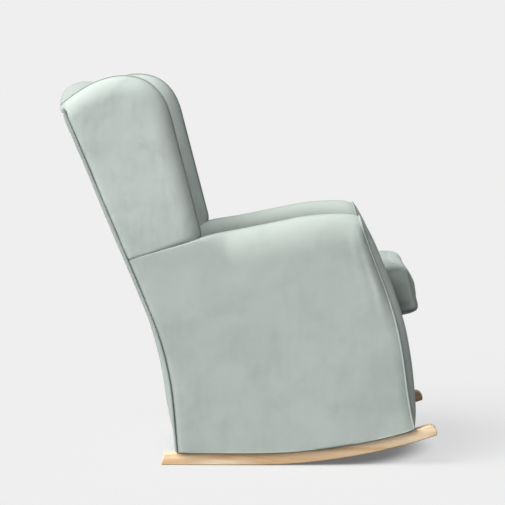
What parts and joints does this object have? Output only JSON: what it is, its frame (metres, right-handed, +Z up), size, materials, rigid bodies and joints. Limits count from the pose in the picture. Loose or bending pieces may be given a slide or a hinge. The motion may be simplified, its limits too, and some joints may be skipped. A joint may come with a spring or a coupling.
{
  "type": "rocking chair",
  "caption": "Upholstered nursery wing armchair that leans back on two curved wooden runners, with a loose box seat cushion.",
  "frame": {"origin": "on the floor under the middle of the chair's box, the chair leaning back at rest on the flats of its runners", "axes": "+Z up, the sitter looks along -Y, +X on the sitter's left; the runners' toes point to -Y"},
  "size_m": [0.7, 1.0129, 1.026],
  "materials": {
    "velvet": "matte",
    "piping": "matte",
    "deck_cloth": "matte",
    "dust_cloth": "matte",
    "webbing": "matte",
    "foam": "matte",
    "zip_tape": "matte",
    "beech": "satin",
    "frame_wood": "matte",
    "spring_wire": "satin",
    "zinc": "satin"
  },
  "bodies": {
    "chair": {"runner_right": "beech", "runner_left": "beech", "runner_bolts": "zinc", "runner_tee_nuts": "zinc", "base_rail_right": "frame_wood", "base_rail_left": "frame_wood", "rear_post_right": "frame_wood", "rear_post_left": "frame_wood", "front_post_right": "frame_wood", "front_post_left": "frame_wood", "arm_rail_right": "frame_wood", "arm_rail_left": "frame_wood", "seat_side_rail_right": "frame_wood", "seat_side_rail_left": "frame_wood", "wing_board_right": "frame_wood", "wing_board_left": "frame_wood", "front_seat_rail": "frame_wood", "rear_seat_rail": "frame_wood", "front_base_rail": "frame_wood", "rear_base_rail": "frame_wood", "back_top_rail": "frame_wood", "lumbar_rail": "frame_wood", "corner_blocks": "frame_wood", "seat_springs": "spring_wire", "spring_clips": "spring_wire", "back_webbing": "webbing", "side_cover_right": "velvet", "side_cover_left": "velvet", "inner_arm_pad_right": "velvet", "inner_arm_pad_left": "velvet", "arm_top_pad_right": "velvet", "arm_top_pad_left": "velvet", "arm_front_pad_right": "velvet", "arm_front_pad_left": "velvet", "arm_front_piping_right": "piping", "arm_front_piping_left": "piping", "wing_cover_right": "velvet", "wing_cover_left": "velvet", "wing_pad_right": "velvet", "wing_pad_left": "velvet", "inner_back_pad": "velvet", "back_top_pad": "velvet", "back_cover": "velvet", "rear_piping_right": "piping", "rear_piping_left": "piping", "front_apron": "velvet", "seat_deck": "deck_cloth", "dust_cover": "dust_cloth"},
    "cushion": {"cushion_cover": "velvet", "cushion_foam": "foam", "cushion_zip": "zip_tape"},
    "zip_pull": {"zip_slider": "zinc"}
  },
  "joints": [
    {"name": "cushion_lift", "type": "slide", "parent": "chair", "child": "cushion", "axis": [0, -0.7071, 0.7071], "range_m": [0, 0.75]},
    {"name": "zip_run", "type": "slide", "parent": "cushion", "child": "zip_pull", "axis": [-1, 0, 0], "range_m": [0, 0.392]}
  ]
}
